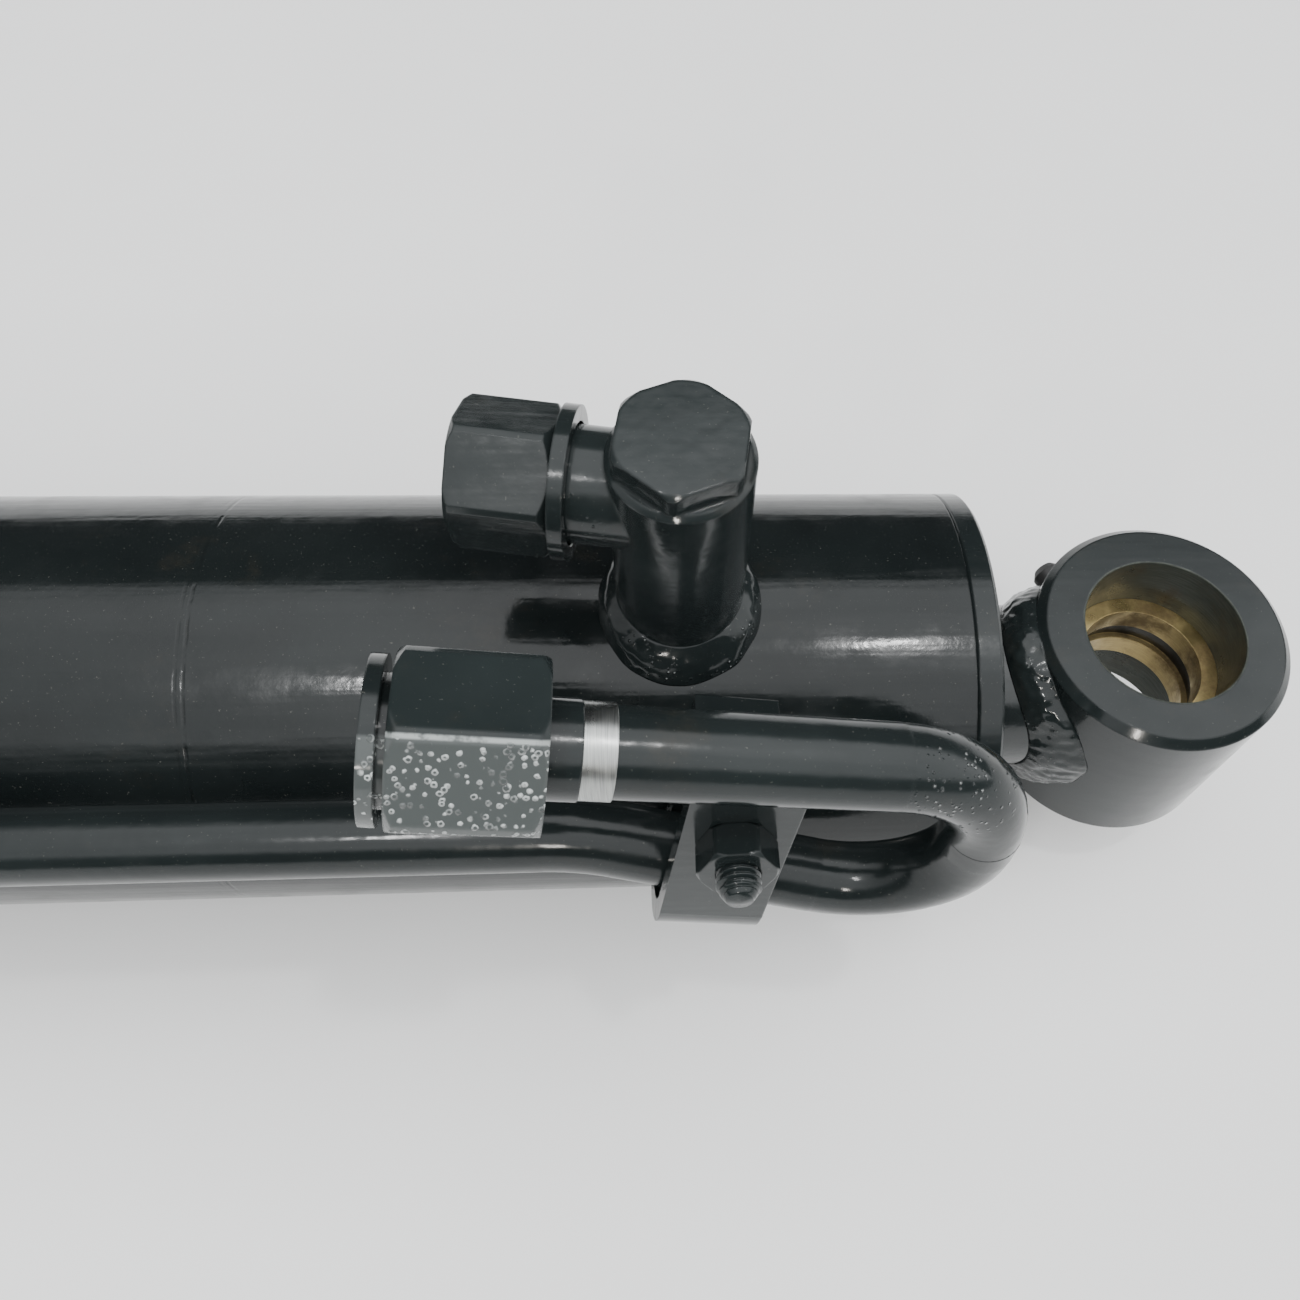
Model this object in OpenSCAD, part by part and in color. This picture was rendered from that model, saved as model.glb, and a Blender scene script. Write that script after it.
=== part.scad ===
// Double-acting welded hydraulic cylinder with a return pipe, drawn fully retracted.
// Frame: origin at the centre of the base eye, +X along the cylinder towards the rod
// end, +Z along both eye bores. Millimetres.

/* [Cylinder] */
// Outside diameter of the barrel
barrel_od = 95; // [92:1:110]
// Bore of the barrel
bore_d = 80; // [78:1:82]
// Rod diameter
rod_d = 40; // [36:1:45]
// Stroke
stroke = 450; // [200:10:450]
// Base eye centre to the outer face of the gland
face_x = 666; // [666:1:800]

/* [Eyes] */
// Outside diameter of both eyes
eye_od = 60; // [58:1:64]
// Length of both eyes along the pin
eye_len = 52; // [50:1:60]
// Pin diameter, which is the bore of the bushings
pin_d = 30; // [28:1:32]
// Outside diameter of the bushings
bush_od = 38; // [36:1:42]
// Length of each bushing
bush_len = 19.5; // [16:0.5:30]
// Gland face to the centre of the rod eye
neck_len = 46; // [44:1:60]

/* [Rod port] */
// Port centre to the gland face
port_back = 67.5; // [66:0.5:75]
// Turn of the port round the barrel, from +Z towards +Y
port_turn = -4; // [-10:1:10]
// Swing of the elbow branch from -X towards +Y
branch_swing = 8; // [0:1:15]
// Diameter of the elbow body
elbow_d = 26; // [24:1:28]
// Height of the elbow's top above the cylinder axis
elbow_top = 103; // [98:1:110]
// Height of the branch above the cylinder axis
branch_z = 85.5; // [82:0.5:88]
// Across flats of the swivel nut on the elbow
elbow_nut_af = 24; // [23:1:26]

/* [Pipe] */
// Pipe outside diameter
pipe_d = 15; // [14:1:16]
// Pipe bore
pipe_bore = 11; // [9:1:12]
// Bend radius of the U-bend, on the pipe's centre line
bend_r = 24; // [22:0.5:24]
// Across flats of the tube nut
tube_nut_af = 27; // [26:1:30]
// Stud diameter of the pipe clamps
stud_d = 8; // [6:1:8]

/* [Hidden] */
$fn = 96;

paint = [0.20, 0.23, 0.24];
steel = [0.62, 0.63, 0.64];
bronze = [0.55, 0.46, 0.25];
seal = [0.10, 0.10, 0.11];
plastic = [0.72, 0.70, 0.66];

barrel_r = barrel_od / 2;
bore_r = bore_d / 2;
rod_r = rod_d / 2;
eye_r = eye_od / 2;
pin_r = pin_d / 2;
bush_r = bush_od / 2;
rod_eye_x = face_x + neck_len;
run_gap = 0.04;                       // radial running clearance

// base end, from the eye outwards
cap_x = 40;
barrel_x = 56;
spigot_x = 66;
neck_r = 21;
eye_weld_r = 25.6;

// piston and gland
nut_x = 72;
piston_x = 92;
piston_len = 50;
shoulder_x = piston_x + piston_len;
rod_tail_r = 15;
gland_rim = 6;
gland_body_x = face_x - gland_rim - 54;
gland_nose_x = min(shoulder_x + stroke + 0.6, gland_body_x - 6);
gland_nose_r = 36;

// rod port elbow, measured in the port's own frame
port_x = face_x - port_back;
branch_r = 10.5;
branch_step = 22.5;
branch_neck_r = 8;
branch_len = 33.5;
elbow_nut_a = 18.7;
elbow_nut_b = 21.4;
elbow_nut_c = 39.0;
elbow_nut_turn = -2.6;

// pipe route
pipe_r = pipe_d / 2;
run_y = -49.5;
run_z = 34.5;
run_turn = atan2(run_y, run_z);
run_start = 96;
u_x = face_x - 13;
u_top = [u_x, -55, 73];
u_low = [u_x, -60, 18.5];
joggle = [face_x - 88, run_y, run_z];
leg_dir = unit([-1, 0, 0.175]);
leg_len = 86.6;                       // to the root of the flare
pipe_route = [u_top + leg_len * leg_dir, u_top, u_low, joggle, [run_start, run_y, run_z]];
pipe_bends = [bend_r, bend_r, 60];
bend_lap = 0.4;
bend_thinning = 0.05;

// tube nut, measured along the pipe from the corner of the U-bend
band_a = 67;
sleeve_a = 72.2;
tube_nut_a = 77.4;
tube_nut_b = 99.8;
tube_nut_turn = 9;
sleeve_r = 8.1;
band_r = 7.8;
sleeve_step = 80.9;

// front clamp, on the slanted stretch of pipe
slope = unit(u_low - joggle);
clamp_at = u_low + (face_x - 62.5 - u_x) / slope[0] * slope;
clamp_turn = -77.6;
clamp_lean = 8.5;
mid_x = 300;
plate_z = pipe_r + 1.2;               // inner face of the plate above the pipe's centre line
plate_t = 4.5;
plate_w = 20;
plate_end = 42;
bracket_t = 6;
bracket_w = 16;
stud_off = 26;
stud_tip = plate_z + plate_t + 11.5;
stud_nut_af = 13;
stud_nut_h = 6.5;

function unit(v) = v / norm(v);
function along(a, b) = unit(b - a);

// ---- placing ----

// local +Z points along +X
module on_x(x) {
    translate([x, 0, 0]) rotate([0, 90, 0]) children();
}

// local +Z points out of the barrel at the given turn from +Z towards +Y
module out_of_barrel(x, turn) {
    translate([x, 0, 0]) rotate([-turn, 0, 0]) children();
}

// local frame with the given origin, x direction and rough z direction
module frame_at(p, x_dir, z_rough) {
    ex = unit(x_dir);
    ey = unit(cross(z_rough, ex));
    ez = cross(ex, ey);
    multmatrix([
        [ex[0], ey[0], ez[0], p[0]],
        [ex[1], ey[1], ez[1], p[1]],
        [ex[2], ey[2], ez[2], p[2]],
        [0, 0, 0, 1]
    ]) children();
}

// local +Z points back along the elbow branch, with its origin on the port's axis
module on_branch() {
    out_of_barrel(port_x, port_turn)
        translate([0, 0, branch_z]) rotate([0, 0, -branch_swing]) rotate([0, -90, 0])
            children();
}

// local +Z points along the pipe's free leg, from the corner of the U-bend
module on_leg() {
    frame_at(u_top, [0, 1, 0], leg_dir) children();
}

module in_front_clamp() {
    out = [0, sin(clamp_turn), cos(clamp_turn)];
    up = [0, cos(clamp_turn), -sin(clamp_turn)];
    frame_at(clamp_at, cos(clamp_lean) * [1, 0, 0] - sin(clamp_lean) * up, out) children();
}

module in_mid_clamp() {
    out = [0, sin(run_turn), cos(run_turn)];
    frame_at([mid_x, run_y, run_z], [1, 0, 0], out) children();
}

// ---- shared shapes ----

module ring(r_out, r_in, h) {
    difference() {
        cylinder(r = r_out, h = h);
        translate([0, 0, -1]) cylinder(r = r_in, h = h + 2);
    }
}

module hexagon(af, h) {
    cylinder(r = af / sqrt(3), h = h, $fn = 6);
}

// hexagon whose corners are turned down to a round, with a chamfer at its top and its foot
module turned_hex(af, round_r, h, top, foot) {
    intersection() {
        hexagon(af, h);
        union() {
            translate([0, 0, foot]) cylinder(r = round_r, h = h - top - foot);
            if (foot > 0) cylinder(r1 = round_r - foot, r2 = round_r, h = foot);
            translate([0, 0, h - top]) cylinder(r1 = round_r, r2 = round_r - top, h = top);
        }
    }
}

module barrel_space() {
    on_x(-100) cylinder(r = barrel_r, h = face_x + 200);
}

// straight pieces and true bends through a list of points; a bend is drawn a hair thinner
// than the straights, which run a little way into it
module bent_rod(points, bends, r) {
    last = len(points) - 1;
    turns = [for (i = [1:last - 1])
        acos(along(points[i - 1], points[i]) * along(points[i], points[i + 1]))];
    cuts = [0, for (i = [1:last - 1]) bends[i - 1] * tan(turns[i - 1] / 2), 0];
    laps = [0, for (i = [1:last - 1]) bend_lap, 0];
    for (i = [0:last - 1]) {
        dir = along(points[i], points[i + 1]);
        side = abs(dir[1]) < 0.9 ? [0, 1, 0] : [0, 0, 1];
        span = norm(points[i + 1] - points[i]) - cuts[i] - cuts[i + 1];
        frame_at(points[i] + (cuts[i] - laps[i]) * dir, cross(side, dir), dir)
            cylinder(r = r, h = span + laps[i] + laps[i + 1]);
    }
    for (i = [1:last - 1]) {
        din = along(points[i - 1], points[i]);
        dout = along(points[i], points[i + 1]);
        start = points[i] - cuts[i] * din;
        inward = unit(dout - din * (din * dout));
        centre = start + bends[i - 1] * inward;
        frame_at(centre, -inward, cross(-inward, din))
            rotate_extrude(angle = turns[i - 1])
                translate([bends[i - 1], 0]) circle(r = r - bend_thinning);
    }
}

// ---- barrel body ----

module barrel_tube() {
    color(paint) difference() {
        on_x(barrel_x) ring(barrel_r, bore_r, face_x - gland_rim - barrel_x);
        out_of_barrel(port_x, port_turn) cylinder(r = 5, h = 60);
        out_of_barrel(80, run_turn) cylinder(r = 4.5, h = 60);
    }
}

module base_cap() {
    color(paint) difference() {
        union() {
            on_x(12) cylinder(r = neck_r, h = cap_x - 11);
            on_x(cap_x) cylinder(r1 = barrel_r - 3, r2 = barrel_r, h = 3);
            on_x(cap_x + 3) cylinder(r = barrel_r, h = barrel_x - cap_x - 3);
            on_x(barrel_x) cylinder(r = bore_r, h = spigot_x - barrel_x);
        }
        cylinder(r = eye_r, h = 120, center = true);
        on_x(spigot_x - 3) cylinder(r1 = bore_r - 8, r2 = bore_r - 5, h = 4);
    }
}

module base_cap_weld() {
    color(paint) on_x(barrel_x - 4) difference() {
        rotate_extrude() translate([barrel_r - 4, 4]) circle(r = 5.1);
        translate([0, 0, -5]) cylinder(r = barrel_r, h = 20);
    }
}

// cross tube of both eyes, bored for its bushing
module eye(x, nipple_turn) {
    translate([x, 0, 0]) difference() {
        union() {
            translate([0, 0, 2 - eye_len / 2]) cylinder(r = eye_r, h = eye_len - 4);
            translate([0, 0, -eye_len / 2])
                cylinder(r1 = eye_r - 2, r2 = eye_r, h = 2);
            translate([0, 0, eye_len / 2 - 2])
                cylinder(r1 = eye_r, r2 = eye_r - 2, h = 2);
        }
        cylinder(r = bush_r, h = eye_len + 2, center = true);
        rotate([0, 0, nipple_turn]) rotate([0, 90, 0]) cylinder(r = 3, h = eye_r + 2);
    }
}

module bushing(x, nipple_turn) {
    color(bronze) translate([x, 0, 0]) difference() {
        cylinder(r = bush_r, h = bush_len, center = true);
        cylinder(r = pin_r, h = bush_len + 2, center = true);
        cylinder(r = pin_r + 1.5, h = 6, center = true);
        rotate([0, 0, nipple_turn]) rotate([0, 90, 0]) cylinder(r = 2, h = 30);
    }
}

module nipple(x, turn) {
    color(steel) translate([x, 0, 0]) rotate([0, 0, turn]) rotate([0, 90, 0]) difference() {
        union() {
            translate([0, 0, bush_r + 1]) cylinder(r = 3, h = eye_r - bush_r - 0.5);
            translate([0, 0, eye_r]) hexagon(7, 3);
            translate([0, 0, eye_r + 3]) cylinder(r = 2.2, h = 3);
        }
        translate([0, 0, bush_r]) cylinder(r = 0.9, h = 20);
    }
}

module nipple_cap(x, turn) {
    color(seal) translate([x, 0, 0]) rotate([0, 0, turn]) rotate([0, 90, 0])
        translate([0, 0, eye_r + 3]) difference() {
            union() {
                cylinder(r = 4, h = 3.2);
                translate([0, 0, 3.2]) cylinder(r1 = 4, r2 = 2.6, h = 1.8);
            }
            translate([0, 0, -1]) cylinder(r = 2.2, h = 4);
        }
}

base_nipple_turn = 100;
rod_nipple_turn = 114;

module base_eye() {
    color(paint) eye(0, base_nipple_turn);
}

// bead that follows the joint between an eye and the round bar welded to it
module eye_weld(x, bar_r, bar_x, bar_len) {
    difference() {
        intersection() {
            on_x(bar_x) cylinder(r = eye_weld_r, h = bar_len);
            translate([x, 0, 0]) cylinder(r = eye_r + 5.5, h = 2 * eye_r, center = true);
        }
        translate([x, 0, 0]) cylinder(r = eye_r, h = 120, center = true);
        on_x(bar_x - 1) cylinder(r = bar_r, h = bar_len + 2);
    }
}

module base_eye_weld() {
    color(paint) eye_weld(0, neck_r, 5, 40);
}

module base_bush() {
    bushing(0, base_nipple_turn);
}

module base_nipple() {
    nipple(0, base_nipple_turn);
}

module base_nipple_cap() {
    nipple_cap(0, base_nipple_turn);
}

// ---- gland and its seals ----

module gland() {
    color(paint) difference() {
        union() {
            on_x(face_x - gland_rim) cylinder(r1 = barrel_r - 0.7, r2 = barrel_r, h = 0.7);
            on_x(face_x - gland_rim + 0.7) cylinder(r = barrel_r, h = gland_rim - 1.5);
            on_x(face_x - 0.8) cylinder(r1 = barrel_r, r2 = barrel_r - 0.8, h = 0.8);
            on_x(gland_body_x) cylinder(r = bore_r, h = face_x - gland_rim - gland_body_x);
            on_x(gland_nose_x) cylinder(r = gland_nose_r, h = gland_body_x - gland_nose_x);
        }
        on_x(gland_nose_x - 1) cylinder(r = rod_r + 0.3, h = face_x - gland_nose_x + 2);
        for (g = gland_grooves) on_x(g[0]) cylinder(r = g[2], h = g[1]);
        on_x(oring_x) ring(bore_r + 1, bore_r - 3.5, 6.5);
    }
}

oring_x = face_x - 42;
// start, width and outer radius of each groove round the rod
gland_grooves = [
    [face_x - 56, 16, rod_r + 3],
    [face_x - 37, 6, rod_r + 6],
    [face_x - 27, 8, rod_r + 5],
    [face_x - 9, 10, rod_r + 5]
];

module rod_ring(i, trim) {
    g = gland_grooves[i];
    on_x(g[0]) ring(g[2], rod_r + run_gap, g[1] - trim);
}

module guide_bush() {
    color(bronze) rod_ring(0, 0);
}

module buffer_seal() {
    color(seal) rod_ring(1, 0);
}

module rod_seal() {
    color(seal) rod_ring(2, 0);
}

module wiper_seal() {
    color(seal) rod_ring(3, 2.2);
}

module gland_oring() {
    color(seal) on_x(oring_x) ring(bore_r, bore_r - 3.5, 4.2);
}

module gland_backup_ring() {
    color(plastic) on_x(oring_x + 4.2) ring(bore_r, bore_r - 3.5, 2.3);
}

// ---- rod port ----

module port_elbow() {
    hex_h = 5;
    color(paint) difference() {
        union() {
            out_of_barrel(port_x, port_turn) {
                translate([0, 0, barrel_r - 10])
                    cylinder(r = elbow_d / 2, h = elbow_top - hex_h - barrel_r + 9);
                translate([0, 0, elbow_top - hex_h - 1])
                    cylinder(r1 = elbow_d / 2, r2 = elbow_d / 2 - 1, h = 1);
                translate([0, 0, elbow_top - hex_h - 2]) rotate([0, 0, 21])
                    turned_hex(22, 12.3, hex_h + 2, 0.9, 0);
            }
            on_branch() {
                cylinder(r = branch_r, h = branch_step);
                cylinder(r = branch_neck_r, h = branch_len - 3);
                translate([0, 0, branch_len - 3])
                    cylinder(r1 = branch_neck_r, r2 = branch_neck_r - 1.5, h = 3);
            }
        }
        barrel_space();
        out_of_barrel(port_x, port_turn) cylinder(r = 5, h = branch_z);
        on_branch() cylinder(r = 5, h = branch_len + 1);
    }
}

module elbow_weld() {
    leg_a = 4;
    color(paint) difference() {
        out_of_barrel(port_x, port_turn) rotate_extrude() polygon([
            [elbow_d / 2 - 1, barrel_r - 8],
            [elbow_d / 2 + 7.6, barrel_r - 6],
            [elbow_d / 2, barrel_r + leg_a],
            [elbow_d / 2 - 1, barrel_r + leg_a]
        ]);
        barrel_space();
        out_of_barrel(port_x, port_turn) cylinder(r = elbow_d / 2, h = elbow_top);
    }
}

module elbow_nut() {
    color(paint) on_branch() difference() {
        union() {
            translate([0, 0, elbow_nut_a]) cylinder(r = 13.8, h = elbow_nut_b - elbow_nut_a);
            translate([0, 0, elbow_nut_b]) rotate([0, 0, elbow_nut_turn])
                turned_hex(elbow_nut_af, 13.5, elbow_nut_c - elbow_nut_b, 1, 1.6);
        }
        translate([0, 0, elbow_nut_a - 1]) cylinder(r = branch_r + 0.5, h = 5);
        cylinder(r = branch_neck_r + run_gap, h = elbow_nut_c);
        translate([0, 0, elbow_nut_a + 6.6]) cylinder(r = 9.4, h = elbow_nut_c);
    }
}

module elbow_plug() {
    color(plastic) on_branch() difference() {
        translate([0, 0, elbow_nut_c - 4.6]) cylinder(r = 9.4, h = 4);
        translate([0, 0, elbow_nut_c - 2]) cylinder(r = 7, h = 4);
    }
}

// ---- base port and pipe ----

block_a = 74;
block_b = 104;

module base_port_block() {
    color(paint) difference() {
        out_of_barrel(0, run_turn)
            translate([block_a, -13, barrel_r - 8]) cube([block_b - block_a, 26, 33]);
        barrel_space();
        out_of_barrel(80, run_turn) cylinder(r = 4.5, h = norm([run_y, run_z]));
        translate([0, run_y, run_z]) on_x(77) cylinder(r = pipe_bore / 2, h = 30);
        translate([0, run_y, run_z]) on_x(run_start) cylinder(r = pipe_r, h = 30);
    }
}

module base_port_weld() {
    bead = 6.4;
    block_l = block_b - block_a;
    color(paint) difference() {
        out_of_barrel(0, run_turn) {
            for (side = [-13, 13]) translate([block_a - 2, side, barrel_r - 1.8])
                rotate([45, 0, 0]) translate([0, -bead / 2, -bead / 2])
                    cube([block_l + 4, bead, bead]);
            for (end = [block_a, block_b]) translate([end, -15, barrel_r - 0.9])
                rotate([0, 45, 0]) translate([-bead / 2, 0, -bead / 2])
                    cube([bead, 30, bead]);
        }
        out_of_barrel(0, run_turn)
            translate([block_a, -13, barrel_r - 20]) cube([block_l, 26, 60]);
        translate([0, run_y, run_z]) on_x(block_b) cylinder(r = pipe_r + 3.5, h = 20);
        barrel_space();
    }
}

module oil_pipe() {
    color(paint) difference() {
        union() {
            bent_rod(pipe_route, pipe_bends, pipe_r);
            on_leg() translate([0, 0, leg_len - 0.5])
                cylinder(r1 = pipe_r - 0.05, r2 = pipe_r + 2, h = 3);
        }
        bent_rod(pipe_route, pipe_bends, pipe_bore / 2);
        on_leg() translate([0, 0, leg_len - 1])
            cylinder(r1 = pipe_bore / 2 - 0.1, r2 = pipe_bore / 2 + 2.4, h = 4);
    }
}

module pipe_weld() {
    color(paint) translate([block_b, run_y, run_z]) rotate([0, 90, 0]) difference() {
        cylinder(r1 = pipe_r + 3.5, r2 = pipe_r + 0.4, h = 3.5);
        translate([0, 0, -1]) cylinder(r = pipe_r, h = 6);
    }
}

// stepped sleeve behind the flare, which the tube nut pulls on
module pipe_sleeve() {
    color(paint) on_leg() difference() {
        union() {
            translate([0, 0, sleeve_a]) cylinder(r = sleeve_r, h = leg_len - sleeve_a - 0.6);
            translate([0, 0, sleeve_step]) cylinder(r = 9.6, h = leg_len - sleeve_step - 0.6);
        }
        translate([0, 0, sleeve_a - 1]) cylinder(r = pipe_r, h = 30);
    }
}

module bare_band() {
    color(steel) on_leg() translate([0, 0, band_a]) ring(band_r, pipe_r, sleeve_a - band_a);
}

module tube_nut() {
    color(paint) on_leg() difference() {
        translate([0, 0, tube_nut_a]) rotate([0, 0, tube_nut_turn])
            turned_hex(tube_nut_af, 15.1, tube_nut_b - tube_nut_a, 1.3, 1.3);
        translate([0, 0, tube_nut_a - 1]) cylinder(r = sleeve_r + run_gap, h = 30);
        translate([0, 0, sleeve_step - 0.1]) cylinder(r = 9.6 + run_gap, h = 30);
        translate([0, 0, leg_len + 4]) cylinder(r = 10.3, h = 30);
    }
}

module tube_plug() {
    color(plastic) on_leg() {
        difference() {
            translate([0, 0, tube_nut_b - 6]) cylinder(r = 10.3, h = 6);
            translate([0, 0, tube_nut_b - 7]) cylinder(r = 8.8, h = 5);
        }
        translate([0, 0, tube_nut_b]) cylinder(r = 10.3, h = 1.4);
        translate([0, 0, tube_nut_b + 1.4]) cylinder(r = 13, h = 2.4);
    }
}

// ---- pipe clamps: local x along the pipe, local z away from the barrel ----

module bracket(gap) {
    difference() {
        translate([-bracket_w / 2, -9, -pipe_r - bracket_t])
            cube([bracket_w, stud_off + 17, bracket_t - gap]);
        translate([0, stud_off, -pipe_r - bracket_t - 1]) cylinder(r = stud_d / 2, h = 30);
    }
}

// strap whose lower end hooks round the pipe
module plate() {
    difference() {
        translate([-plate_w / 2, -bend_lap, plate_z])
            cube([plate_w, plate_end + bend_lap, plate_t]);
        translate([0, stud_off, plate_z - 1]) cylinder(r = stud_d / 2 + 0.4, h = plate_t + 2);
    }
    rotate([0, -90, 0]) translate([0, 0, -plate_w / 2]) rotate([0, 0, -100])
        rotate_extrude(angle = 100)
            translate([plate_z + bend_thinning, 0.05])
                square([plate_t - 2 * bend_thinning, plate_w - 0.1]);
}

module stud() {
    difference() {
        union() {
            translate([0, stud_off, -pipe_r - bracket_t])
                cylinder(r = stud_d / 2, h = stud_tip + pipe_r + bracket_t - 2);
            translate([0, stud_off, stud_tip - 2]) cylinder(r1 = stud_d / 2, r2 = 2.2, h = 2);
        }
        for (k = [0:4]) translate([0, stud_off, stud_tip - 4.4 - 1.25 * k])
            ring(stud_d, stud_d / 2 - 0.5, 0.5);
    }
}

module nut() {
    translate([0, stud_off, plate_z + plate_t]) difference() {
        rotate([0, 0, 12]) turned_hex(stud_nut_af, 7.3, stud_nut_h, 0.6, 0.6);
        translate([0, 0, -1]) cylinder(r = stud_d / 2, h = stud_nut_h + 2);
    }
}

module front_bracket() {
    color(paint) difference() {
        in_front_clamp() bracket(1.2);
        barrel_space();
    }
}

module front_plate() {
    color(paint) in_front_clamp() plate();
}

module front_stud() {
    color(paint) in_front_clamp() stud();
}

module front_nut() {
    color(paint) in_front_clamp() nut();
}

module mid_bracket() {
    color(paint) difference() {
        in_mid_clamp() bracket(0);
        barrel_space();
    }
}

module mid_plate() {
    color(paint) in_mid_clamp() plate();
}

module mid_stud() {
    color(paint) in_mid_clamp() stud();
}

module mid_nut() {
    color(paint) in_mid_clamp() nut();
}

// ---- rod body ----

module rod() {
    color(steel) difference() {
        union() {
            on_x(shoulder_x) cylinder(r = rod_r, h = rod_eye_x - shoulder_x);
            on_x(nut_x) cylinder(r = rod_tail_r, h = piston_len + piston_x - nut_x);
        }
        translate([rod_eye_x, 0, 0]) cylinder(r = eye_r, h = 120, center = true);
    }
}

module rod_eye() {
    color(paint) eye(rod_eye_x, rod_nipple_turn);
}

module rod_eye_weld() {
    color(paint) eye_weld(rod_eye_x, rod_r, rod_eye_x - 45, 40);
}

module rod_bush() {
    bushing(rod_eye_x, rod_nipple_turn);
}

module rod_nipple() {
    nipple(rod_eye_x, rod_nipple_turn);
}

module rod_nipple_cap() {
    nipple_cap(rod_eye_x, rod_nipple_turn);
}

seal_groove = [piston_x + 20, 10];
wear_grooves = [[piston_x + 5, 9], [piston_x + 36, 9]];

module piston() {
    color(steel) difference() {
        on_x(piston_x) ring(bore_r - 0.3, rod_tail_r, piston_len);
        on_x(seal_groove[0]) ring(bore_r, bore_r - 6, seal_groove[1]);
        for (g = wear_grooves) on_x(g[0]) ring(bore_r, bore_r - 3, g[1]);
        on_x(piston_x + 24) ring(rod_tail_r + 3, rod_tail_r - 1, 4);
    }
}

module piston_seal() {
    color(seal) on_x(seal_groove[0]) ring(bore_r - run_gap, bore_r - 6, seal_groove[1]);
}

module wear_rings() {
    color(bronze) for (g = wear_grooves) on_x(g[0]) ring(bore_r - run_gap, bore_r - 3, g[1]);
}

module piston_oring() {
    color(seal) on_x(piston_x + 24) ring(rod_tail_r + 3, rod_tail_r, 4);
}

module piston_nut() {
    color(steel) on_x(nut_x) difference() {
        turned_hex(46, 26, piston_x - nut_x, 1.5, 1.5);
        translate([0, 0, -1]) cylinder(r = rod_tail_r, h = 30);
    }
}

barrel_tube();
base_cap();
base_cap_weld();
base_eye();
base_eye_weld();
base_bush();
base_nipple();
base_nipple_cap();
gland();
gland_oring();
gland_backup_ring();
guide_bush();
buffer_seal();
rod_seal();
wiper_seal();
port_elbow();
elbow_weld();
elbow_nut();
elbow_plug();
base_port_block();
base_port_weld();
oil_pipe();
pipe_weld();
pipe_sleeve();
bare_band();
tube_nut();
tube_plug();
front_bracket();
front_plate();
front_stud();
front_nut();
mid_bracket();
mid_plate();
mid_stud();
mid_nut();
rod();
rod_eye();
rod_eye_weld();
rod_bush();
rod_nipple();
rod_nipple_cap();
piston();
piston_seal();
wear_rings();
piston_oring();
piston_nut();
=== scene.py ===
import math

import bpy
from mathutils import Matrix, Vector, noise


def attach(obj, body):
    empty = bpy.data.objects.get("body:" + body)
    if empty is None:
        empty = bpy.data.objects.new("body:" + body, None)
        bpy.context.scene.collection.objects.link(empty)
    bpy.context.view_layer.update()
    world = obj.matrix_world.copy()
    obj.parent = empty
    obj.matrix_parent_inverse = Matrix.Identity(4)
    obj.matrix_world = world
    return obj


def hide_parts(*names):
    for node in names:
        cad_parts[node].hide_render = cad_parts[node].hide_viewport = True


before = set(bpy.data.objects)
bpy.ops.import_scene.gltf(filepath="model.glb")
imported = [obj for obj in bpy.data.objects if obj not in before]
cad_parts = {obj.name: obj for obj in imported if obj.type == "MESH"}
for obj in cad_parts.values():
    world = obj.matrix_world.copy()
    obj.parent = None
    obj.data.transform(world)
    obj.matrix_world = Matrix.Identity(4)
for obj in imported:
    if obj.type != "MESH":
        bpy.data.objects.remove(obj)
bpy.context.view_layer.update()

# places and sizes on the part are in millimetres, in the part's own frame
MM = 0.001
FACE_X = 666.0                         # outer face of the gland
ROD_EYE_X = 712.0                      # the base eye is at the origin
EYE_R = 30.0
BARREL_R = 47.5
CAP_X, CAP_R = 56.0, 45.2              # seam between the base cap and the barrel
PORT_X = FACE_X - 67.5
PORT_TURN = math.radians(-4.0)
PIPE_R = 7.5
RUN_Y, RUN_Z = -49.5, 34.5             # straight run of the pipe along the barrel
JOGGLE = Vector((FACE_X - 88.0, RUN_Y, RUN_Z))   # corner at the end of that run
U_LOW = Vector((FACE_X - 13.0, -60.0, 18.5))     # lower corner of the pipe's U-bend
FRONT_CLAMP_X = FACE_X - 62.5
FRONT_CLAMP_TURN = math.radians(-77.6)
FRONT_CLAMP_LEAN = math.radians(8.5)
MID_CLAMP_X = 300.0
STUD_OFF = 26.0
STUD_FOOT = -PIPE_R - 6.0              # underside of the clamp's bracket
STUD_TIP = PIPE_R + 1.2 + 4.5 + 11.5   # over the pipe: gap, plate and free end
SINK = 0.15                            # the fillets' edges are this deep in the metal
FLOOR_Z = -48.7
ROLL = math.radians(27.57)             # turn between the camera's upright and the part's Z


# ---- node helpers ----

def new_material(name):
    mat = bpy.data.materials.new(name)
    mat.use_nodes = True
    nt = mat.node_tree
    nt.nodes.clear()
    out = nt.nodes.new("ShaderNodeOutputMaterial")
    bsdf = nt.nodes.new("ShaderNodeBsdfPrincipled")
    nt.links.new(bsdf.outputs[0], out.inputs[0])
    return mat, nt, bsdf


def node(nt, kind, inputs=None, **props):
    n = nt.nodes.new(kind)
    for k, v in props.items():
        setattr(n, k, v)
    for k, v in (inputs or {}).items():
        sock = n.inputs[k]
        if isinstance(v, bpy.types.NodeSocket):
            nt.links.new(v, sock)
        else:
            sock.default_value = v
    return n


def coords(nt, scale=(1, 1, 1)):
    obj = node(nt, "ShaderNodeTexCoord").outputs["Object"]
    return node(nt, "ShaderNodeMapping", {"Vector": obj, "Scale": scale}).outputs[0]


def noise_of(nt, vec, scale, detail=3.0, rough=0.55):
    return node(nt, "ShaderNodeTexNoise",
                {"Vector": vec, "Scale": scale, "Detail": detail, "Roughness": rough}).outputs[0]


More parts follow.
